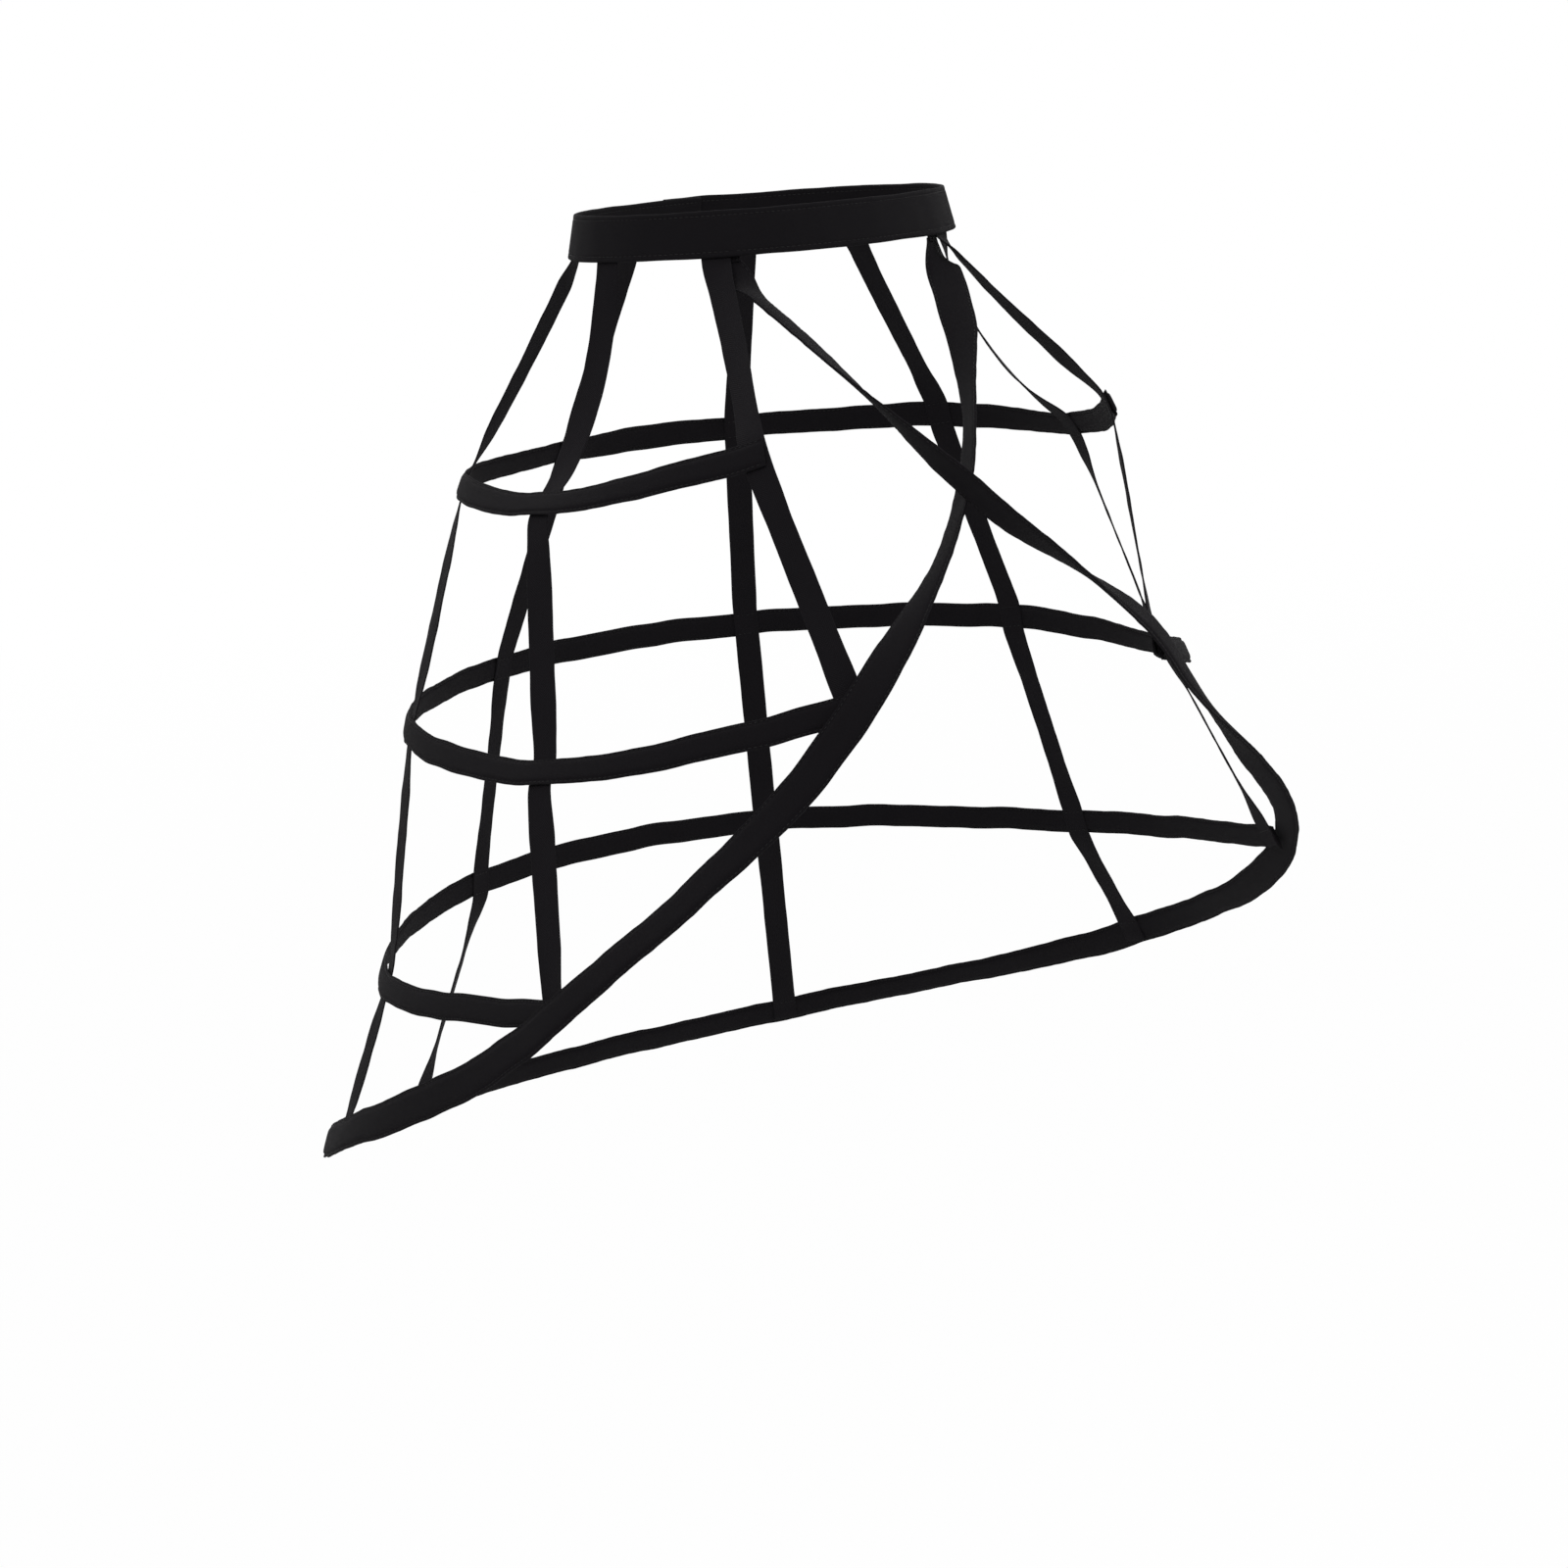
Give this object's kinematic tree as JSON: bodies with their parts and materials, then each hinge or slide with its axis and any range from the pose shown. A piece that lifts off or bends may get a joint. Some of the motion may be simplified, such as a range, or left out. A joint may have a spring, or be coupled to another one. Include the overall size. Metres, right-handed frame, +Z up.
{
  "type": "crinoline cage",
  "caption": "Open-fronted crinoline cage: boned hoops and a sweeping boned hem hung on straps from an oval waistband, with straps that cross at the front.",
  "frame": {"origin": "centre of the waistband's upper edge", "axes": "+Z up along the wearer's centre line, the open front faces -Y, the wearer's left side is +X"},
  "size_m": [0.6218, 0.5627, 0.6174],
  "materials": {
    "cloth": "matt black woven cotton",
    "tape": "black twill tape with a slight sheen",
    "bone": "sprung steel",
    "tip": "dipped white plastic"
  },
  "bodies": {
    "root": {"waistband": "cloth", "top_hoop_casing": "cloth", "top_hoop_bone": "bone", "top_bone_tips": "tip", "middle_hoop_casing": "cloth", "middle_hoop_bone": "bone", "middle_bone_tips": "tip", "lower_hoop_casing": "cloth", "lower_hoop_bone": "bone", "lower_bone_tips": "tip", "hem_casing": "cloth", "hem_bone": "bone", "hem_bone_tips": "tip", "right_front_strap": "tape", "left_front_strap": "tape", "right_side_front_strap": "tape", "left_side_front_strap": "tape", "right_side_strap": "tape", "left_side_strap": "tape", "right_back_strap": "tape", "left_back_strap": "tape"}
  },
  "joints": []
}
